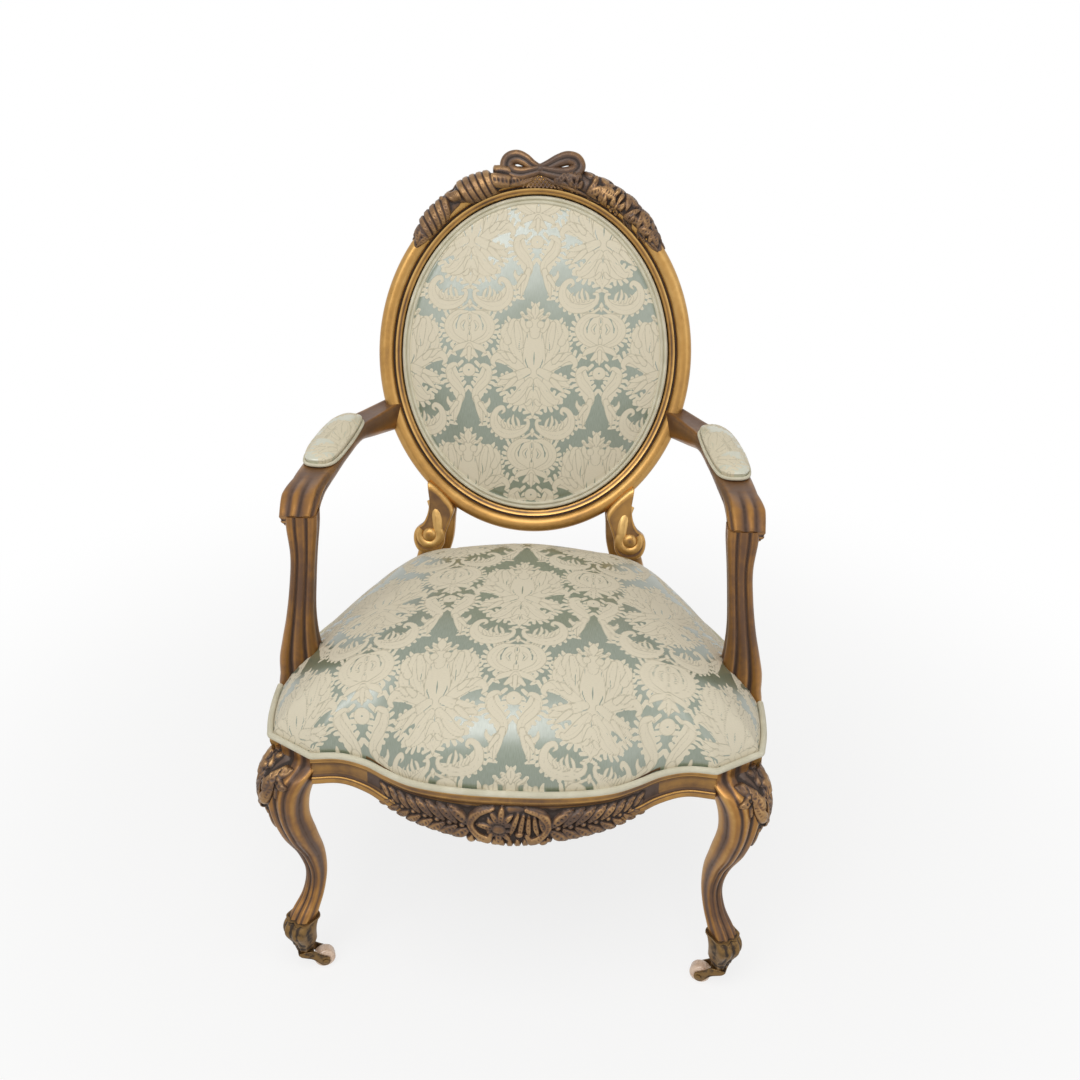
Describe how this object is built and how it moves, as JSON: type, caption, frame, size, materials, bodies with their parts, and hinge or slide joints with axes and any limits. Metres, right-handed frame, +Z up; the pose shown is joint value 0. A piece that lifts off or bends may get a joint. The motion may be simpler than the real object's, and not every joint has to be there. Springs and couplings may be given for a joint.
{
  "type": "open armchair",
  "caption": "Carved giltwood open armchair with an oval padded back, sprung damask seat, padded arms and casters on the front feet.",
  "frame": {"origin": "on the floor, at the centre of the chair's bounding box in plan", "axes": "+Z up; the chair faces -Y; +X is to the right of someone who faces the chair, and the right_ pieces are on that side"},
  "size_m": [0.6666, 0.7004, 1.0259],
  "materials": {
    "gilt_wood": "burnished gold leaf over brown clay on carved beech, rubbed and darkened",
    "carved_gilt": "dark tarnished gilding in the carving's hollows",
    "beech": "bare planed beech",
    "damask": "satin damask, sea-green ground and cream pattern",
    "piping": "plain cream cord piping",
    "stuffing": "curled hair",
    "canvas": "plain jute hessian",
    "webbing": "woven jute webbing",
    "dust_cloth": "black cambric",
    "spring_steel": "dull coppered steel wire",
    "caster_brass": "dark tarnished brass",
    "wheel_ceramic": "glazed cream ceramic"
  },
  "bodies": {
    "chair": {"front_rail": "gilt_wood", "left_side_rail": "gilt_wood", "right_side_rail": "gilt_wood", "rear_rail": "gilt_wood", "left_front_leg": "gilt_wood", "right_front_leg": "gilt_wood", "left_rear_leg": "gilt_wood", "right_rear_leg": "gilt_wood", "crest_rail": "gilt_wood", "lower_oval_rail": "gilt_wood", "left_oval_stile": "gilt_wood", "right_oval_stile": "gilt_wood", "left_volute_console": "gilt_wood", "right_volute_console": "gilt_wood", "left_arm": "gilt_wood", "right_arm": "gilt_wood", "left_arm_support": "gilt_wood", "right_arm_support": "gilt_wood", "left_garland": "carved_gilt", "right_garland": "carved_gilt", "ribbon_bow": "carved_gilt", "front_rail_carving": "carved_gilt", "left_knee_carving": "carved_gilt", "right_knee_carving": "carved_gilt", "left_front_corner_block": "beech", "right_front_corner_block": "beech", "left_rear_corner_block": "beech", "right_rear_corner_block": "beech", "seat_cover": "damask", "back_cover": "damask", "outside_back_panel": "damask", "left_arm_pad": "damask", "right_arm_pad": "damask", "front_seat_piping": "piping", "rear_seat_piping": "piping", "left_seat_piping": "piping", "right_seat_piping": "piping", "back_piping": "piping", "outside_back_piping": "piping", "left_arm_pad_piping": "piping", "right_arm_pad_piping": "piping", "seat_stuffing": "stuffing", "back_stuffing": "stuffing", "spring_canvas": "canvas", "back_canvas": "canvas", "seat_webbing": "webbing", "dust_cover": "dust_cloth", "middle_spring": "spring_steel", "left_front_spring": "spring_steel", "right_front_spring": "spring_steel", "left_rear_spring": "spring_steel", "right_rear_spring": "spring_steel", "left_caster_cup": "caster_brass", "right_caster_cup": "caster_brass"},
    "left_caster_swivel": {"left_caster_fork": "caster_brass", "left_caster_axle": "caster_brass"},
    "right_caster_swivel": {"right_caster_fork": "caster_brass", "right_caster_axle": "caster_brass"},
    "left_caster_wheel_body": {"left_caster_wheel": "wheel_ceramic"},
    "right_caster_wheel_body": {"right_caster_wheel": "wheel_ceramic"}
  },
  "joints": [
    {"name": "left_caster_swivel", "type": "hinge", "parent": "chair", "child": "left_caster_swivel", "pos_m": [-0.29477, -0.27704, 0.035], "axis": [0, 0, 1], "continuous": true},
    {"name": "left_caster_roll", "type": "hinge", "parent": "left_caster_swivel", "child": "left_caster_wheel_body", "pos_m": [-0.26928, -0.26812, 0.015], "axis": [-0.3304, 0.9439, 0], "continuous": true},
    {"name": "right_caster_swivel", "type": "hinge", "parent": "chair", "child": "right_caster_swivel", "pos_m": [0.29477, -0.27704, 0.035], "axis": [0, 0, 1], "continuous": true},
    {"name": "right_caster_roll", "type": "hinge", "parent": "right_caster_swivel", "child": "right_caster_wheel_body", "pos_m": [0.26928, -0.26812, 0.015], "axis": [0.3304, 0.9439, 0], "continuous": true}
  ]
}
